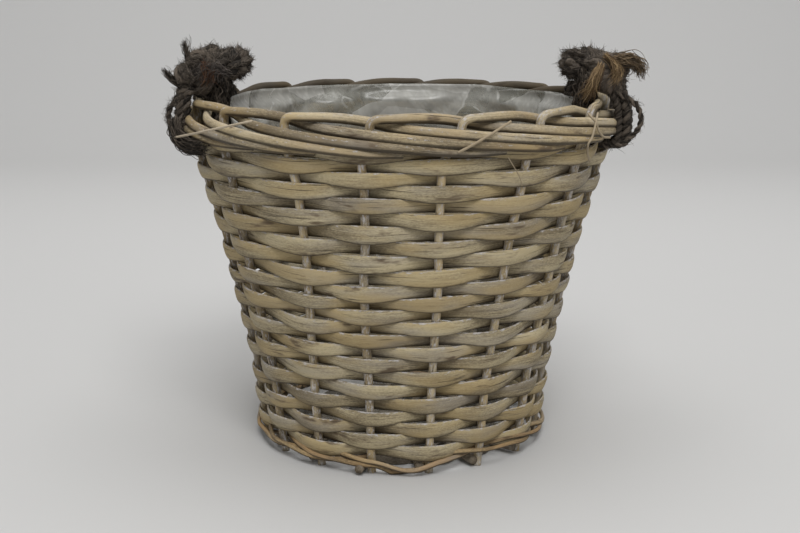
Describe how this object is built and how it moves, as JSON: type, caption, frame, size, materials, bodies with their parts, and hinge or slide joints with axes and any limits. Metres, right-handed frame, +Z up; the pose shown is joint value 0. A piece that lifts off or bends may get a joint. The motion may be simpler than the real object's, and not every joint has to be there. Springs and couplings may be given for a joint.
{
  "type": "storage basket",
  "caption": "Round tapering storage basket of willow strips woven on stakes, with a rolled border, a film liner and lashed rope handles that swing.",
  "frame": {"origin": "centre of the ring of stake feet on the floor, which is the bottom centre of the bounding box", "axes": "+X to the basket's right, through the right handle; +Z up; -Y is the front"},
  "size_m": [0.3186, 0.308, 0.2827],
  "materials": {
    "stake_willow": "peeled willow rod, dull",
    "strip_willow": "grey-washed split strip, dull",
    "wale_willow": "golden brown split strand, dull",
    "base_stick_willow": "weathered stick, dull",
    "base_strip_willow": "grey-washed split strip, dull",
    "film": "clear crumpled film",
    "rope": "dark coarse fibre rope"
  },
  "bodies": {
    "basket": {"stake_01": "stake_willow", "stake_02": "stake_willow", "stake_03": "stake_willow", "stake_04": "stake_willow", "stake_05": "stake_willow", "stake_06": "stake_willow", "stake_07": "stake_willow", "stake_08": "stake_willow", "stake_09": "stake_willow", "stake_10": "stake_willow", "stake_11": "stake_willow", "stake_12": "stake_willow", "stake_13": "stake_willow", "stake_14": "stake_willow", "stake_15": "stake_willow", "stake_16": "stake_willow", "weaver_row_01": "strip_willow", "weaver_row_02": "strip_willow", "weaver_row_03": "strip_willow", "weaver_row_04": "strip_willow", "weaver_row_05": "strip_willow", "weaver_row_06": "strip_willow", "weaver_row_07": "strip_willow", "weaver_row_08": "strip_willow", "weaver_row_09": "strip_willow", "weaver_row_10": "strip_willow", "weaver_row_11": "strip_willow", "weaver_row_12": "strip_willow", "weaver_row_13": "strip_willow", "weaver_row_14": "strip_willow", "weaver_row_15": "strip_willow", "weaver_row_16": "strip_willow", "weaver_row_17": "strip_willow", "weaver_row_18": "strip_willow", "weaver_row_19": "strip_willow", "weaver_row_20": "strip_willow", "weaver_row_21": "strip_willow", "weaver_row_22": "strip_willow", "weaver_row_23": "strip_willow", "weaver_row_24": "strip_willow", "wale_strand_01": "wale_willow", "wale_strand_02": "wale_willow", "wale_strand_03": "wale_willow", "base_stick_under_01": "base_stick_willow", "base_stick_over_01": "base_stick_willow", "base_stick_under_02": "base_stick_willow", "base_stick_over_02": "base_stick_willow", "base_stick_under_03": "base_stick_willow", "base_stick_over_03": "base_stick_willow", "base_stick_under_04": "base_stick_willow", "base_stick_over_04": "base_stick_willow", "base_weaver_a": "base_strip_willow", "base_weaver_b": "base_strip_willow", "liner": "film", "left_front_lashing": "rope", "left_back_lashing": "rope", "right_front_lashing": "rope", "right_back_lashing": "rope"},
    "left_handle": {"left_handle_rope": "rope"},
    "right_handle": {"right_handle_rope": "rope"}
  },
  "joints": [
    {"name": "right_handle_swing", "type": "hinge", "parent": "basket", "child": "right_handle", "pos_m": [0.13737, 0, 0.26637], "axis": [0, 1, 0], "range_deg": [-20, 165]},
    {"name": "left_handle_swing", "type": "hinge", "parent": "basket", "child": "left_handle", "pos_m": [-0.13737, 0, 0.26637], "axis": [0, -1, 0], "range_deg": [-20, 165]}
  ]
}
